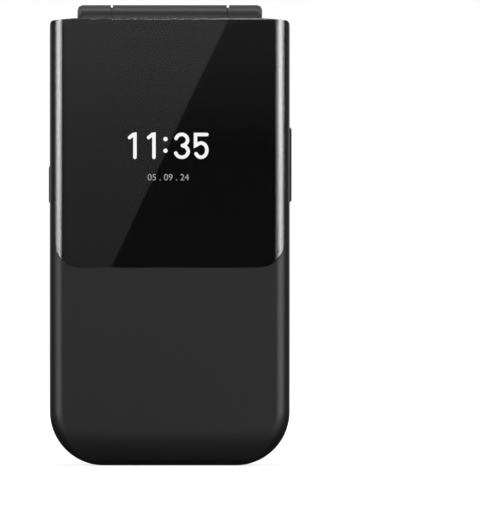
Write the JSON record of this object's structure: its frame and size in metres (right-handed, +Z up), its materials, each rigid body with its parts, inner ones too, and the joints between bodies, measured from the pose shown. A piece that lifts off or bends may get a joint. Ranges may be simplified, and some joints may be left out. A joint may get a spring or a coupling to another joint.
{
  "type": "flip phone",
  "caption": "Folding mobile phone, shut: dark lid with an outer display, hinge bar on top, and a glossy black rear cover with a camera over an inner keypad.",
  "frame": {"origin": "bottom centre of the phone's box, on the flat bottom edge that both folded halves share", "axes": "+Z up along the phone towards the hinge, +X across to the volume side, -Y out of the lid's outer face, +Y out of the rear cover"},
  "size_m": [0.0556, 0.0186, 0.1047],
  "materials": {
    "case_dark": "fine matte texture",
    "keys": "satin",
    "nav_ring": "satin",
    "cover_glass": "polished, tinted black",
    "window": "polished, tinted",
    "display": "smooth",
    "circuit_board": "solder resist",
    "flex": "film",
    "module_plastic": "moulded",
    "steel": "bright",
    "trim": "satin black",
    "silicone": "soft",
    "frame_grey": "satin paint",
    "cover_black": "high gloss",
    "flash_lens": "clear over yellow phosphor",
    "battery": "printed sleeve, bare",
    "contact_gold": "plated",
    "antenna": "moulded carrier"
  },
  "bodies": {
    "base": {"antenna": "antenna", "base_front_case": "case_dark", "base_screws": "steel", "battery": "battery", "battery_contacts": "contact_gold", "camera_module": "module_plastic", "camera_trim": "trim", "camera_window": "window", "flash_lens": "flash_lens", "headset_jack": "module_plastic", "hinge_bush": "module_plastic", "hinge_caps": "case_dark", "hinge_flex": "flex", "hinge_shaft": "trim", "keypad_domes": "steel", "loudspeaker": "module_plastic", "main_board": "circuit_board", "microphone": "steel", "mid_frame": "frame_grey", "rear_cover": "cover_black", "shield_cans": "steel", "side_switches": "module_plastic", "sim_holder": "steel", "usb_socket": "steel", "vibration_motor": "steel"},
    "lid": {"lid_front_case": "case_dark", "cover_glass": "cover_glass", "cover_display": "display", "lid_board": "circuit_board", "display_flex": "flex", "lid_inner_case": "case_dark", "main_display": "display", "display_window": "window", "earpiece": "module_plastic", "lid_magnet": "steel", "lid_screws": "steel", "lid_bumpers": "silicone", "hinge_module": "steel"},
    "key_0": {"key_0": "keys"},
    "key_1": {"key_1": "keys"},
    "key_2": {"key_2": "keys"},
    "key_3": {"key_3": "keys"},
    "key_4": {"key_4": "keys"},
    "key_5": {"key_5": "keys"},
    "key_6": {"key_6": "keys"},
    "key_7": {"key_7": "keys"},
    "key_8": {"key_8": "keys"},
    "key_9": {"key_9": "keys"},
    "key_star": {"key_star": "keys"},
    "key_hash": {"key_hash": "keys"},
    "soft_key_left": {"soft_key_left": "keys"},
    "soft_key_right": {"soft_key_right": "keys"},
    "call_key": {"call_key": "keys"},
    "end_key": {"end_key": "keys"},
    "select_key": {"select_key": "keys"},
    "nav_web": {"nav_web": "silicone"},
    "nav_ring": {"nav_ring": "nav_ring"},
    "alert_key": {"alert_key": "case_dark"},
    "volume_rocker": {"volume_rocker": "case_dark"}
  },
  "joints": [
    {"name": "lid_hinge", "type": "hinge", "parent": "base", "child": "lid", "pos_m": [0, -0.00295, 0.1005], "axis": [-1, 0, 0], "range_deg": [0, 160]},
    {"name": "key_0_press", "type": "slide", "parent": "base", "child": "key_0", "axis": [0, 1, 0], "range_m": [0, 0.00035], "stiffness_N_per_m": 3000, "springref_m": -0.0001},
    {"name": "key_1_press", "type": "slide", "parent": "base", "child": "key_1", "axis": [0, 1, 0], "range_m": [0, 0.00035], "stiffness_N_per_m": 3000, "springref_m": -0.0001},
    {"name": "key_2_press", "type": "slide", "parent": "base", "child": "key_2", "axis": [0, 1, 0], "range_m": [0, 0.00035], "stiffness_N_per_m": 3000, "springref_m": -0.0001},
    {"name": "key_3_press", "type": "slide", "parent": "base", "child": "key_3", "axis": [0, 1, 0], "range_m": [0, 0.00035], "stiffness_N_per_m": 3000, "springref_m": -0.0001},
    {"name": "key_4_press", "type": "slide", "parent": "base", "child": "key_4", "axis": [0, 1, 0], "range_m": [0, 0.00035], "stiffness_N_per_m": 3000, "springref_m": -0.0001},
    {"name": "key_5_press", "type": "slide", "parent": "base", "child": "key_5", "axis": [0, 1, 0], "range_m": [0, 0.00035], "stiffness_N_per_m": 3000, "springref_m": -0.0001},
    {"name": "key_6_press", "type": "slide", "parent": "base", "child": "key_6", "axis": [0, 1, 0], "range_m": [0, 0.00035], "stiffness_N_per_m": 3000, "springref_m": -0.0001},
    {"name": "key_7_press", "type": "slide", "parent": "base", "child": "key_7", "axis": [0, 1, 0], "range_m": [0, 0.00035], "stiffness_N_per_m": 3000, "springref_m": -0.0001},
    {"name": "key_8_press", "type": "slide", "parent": "base", "child": "key_8", "axis": [0, 1, 0], "range_m": [0, 0.00035], "stiffness_N_per_m": 3000, "springref_m": -0.0001},
    {"name": "key_9_press", "type": "slide", "parent": "base", "child": "key_9", "axis": [0, 1, 0], "range_m": [0, 0.00035], "stiffness_N_per_m": 3000, "springref_m": -0.0001},
    {"name": "key_star_press", "type": "slide", "parent": "base", "child": "key_star", "axis": [0, 1, 0], "range_m": [0, 0.00035], "stiffness_N_per_m": 3000, "springref_m": -0.0001},
    {"name": "key_hash_press", "type": "slide", "parent": "base", "child": "key_hash", "axis": [0, 1, 0], "range_m": [0, 0.00035], "stiffness_N_per_m": 3000, "springref_m": -0.0001},
    {"name": "soft_key_left_press", "type": "slide", "parent": "base", "child": "soft_key_left", "axis": [0, 1, 0], "range_m": [0, 0.00035], "stiffness_N_per_m": 3000, "springref_m": -0.0001},
    {"name": "soft_key_right_press", "type": "slide", "parent": "base", "child": "soft_key_right", "axis": [0, 1, 0], "range_m": [0, 0.00035], "stiffness_N_per_m": 3000, "springref_m": -0.0001},
    {"name": "call_key_press", "type": "slide", "parent": "base", "child": "call_key", "axis": [0, 1, 0], "range_m": [0, 0.00035], "stiffness_N_per_m": 3000, "springref_m": -0.0001},
    {"name": "end_key_press", "type": "slide", "parent": "base", "child": "end_key", "axis": [0, 1, 0], "range_m": [0, 0.00035], "stiffness_N_per_m": 3000, "springref_m": -0.0001},
    {"name": "select_key_press", "type": "slide", "parent": "base", "child": "select_key", "axis": [0, 1, 0], "range_m": [0, 0.00035], "stiffness_N_per_m": 3000, "springref_m": -0.0001},
    {"name": "nav_tilt_up_down", "type": "hinge", "parent": "base", "child": "nav_web", "pos_m": [0, -0.001, 0.0784], "axis": [1, 0, 0], "range_deg": [-1.2, 1.2], "stiffness_Nm_per_rad": 0.4},
    {"name": "nav_tilt_left_right", "type": "hinge", "parent": "nav_web", "child": "nav_ring", "pos_m": [0, -0.001, 0.0784], "axis": [0, 0, 1], "range_deg": [-1.2, 1.2], "stiffness_Nm_per_rad": 0.4},
    {"name": "alert_key_press", "type": "slide", "parent": "base", "child": "alert_key", "axis": [1, 0, 0], "range_m": [0, 0.00035], "stiffness_N_per_m": 3000, "springref_m": -0.0001},
    {"name": "volume_rock", "type": "hinge", "parent": "base", "child": "volume_rocker", "pos_m": [0.02575, 0.0042, 0.06845], "axis": [0, 1, 0], "range_deg": [-1.5, 1.5], "stiffness_Nm_per_rad": 0.2}
  ]
}
